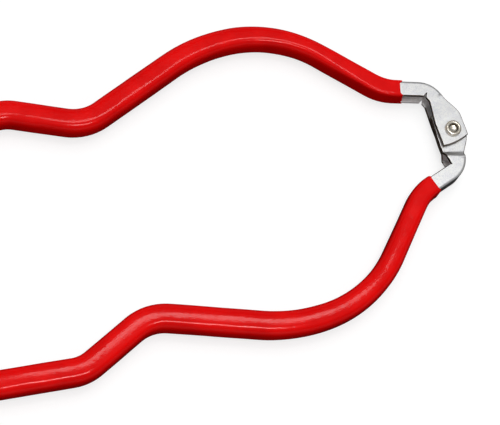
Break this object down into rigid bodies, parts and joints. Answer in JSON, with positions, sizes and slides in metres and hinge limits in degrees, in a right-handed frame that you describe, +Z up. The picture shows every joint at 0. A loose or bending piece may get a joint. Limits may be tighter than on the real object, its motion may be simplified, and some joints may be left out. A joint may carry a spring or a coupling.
{
  "type": "jar lifter",
  "caption": "Hinged two-arm gripper for jar lids and bands: curved jaws and long handles of pressed steel channel with dipped vinyl coats.",
  "frame": {"origin": "on the surface that the tool lies on, below the middle of its overall length and width", "axes": "+X along the tool's middle line towards the hinge, +Z up along the rivet with the tool lying flat, +Y towards the arm that has the outer ears"},
  "size_m": [0.2186, 0.1066, 0.009],
  "materials": {
    "plated_steel": "bright zinc-nickel plating, faint rolling marks",
    "red_vinyl": "glossy dipped vinyl, slightly uneven",
    "rivet_metal": "nickel plated, warm tint"
  },
  "bodies": {
    "outer_half": {"outer_arm": "plated_steel", "outer_arm_coat": "red_vinyl", "hinge_rivet": "rivet_metal"},
    "inner_half": {"inner_arm": "plated_steel", "inner_arm_coat": "red_vinyl"}
  },
  "joints": [
    {"name": "hinge", "type": "hinge", "parent": "outer_half", "child": "inner_half", "pos_m": [0.10492, -0.00083, 0.0045], "axis": [0, 0, 1], "range_deg": [-16, 140]}
  ]
}
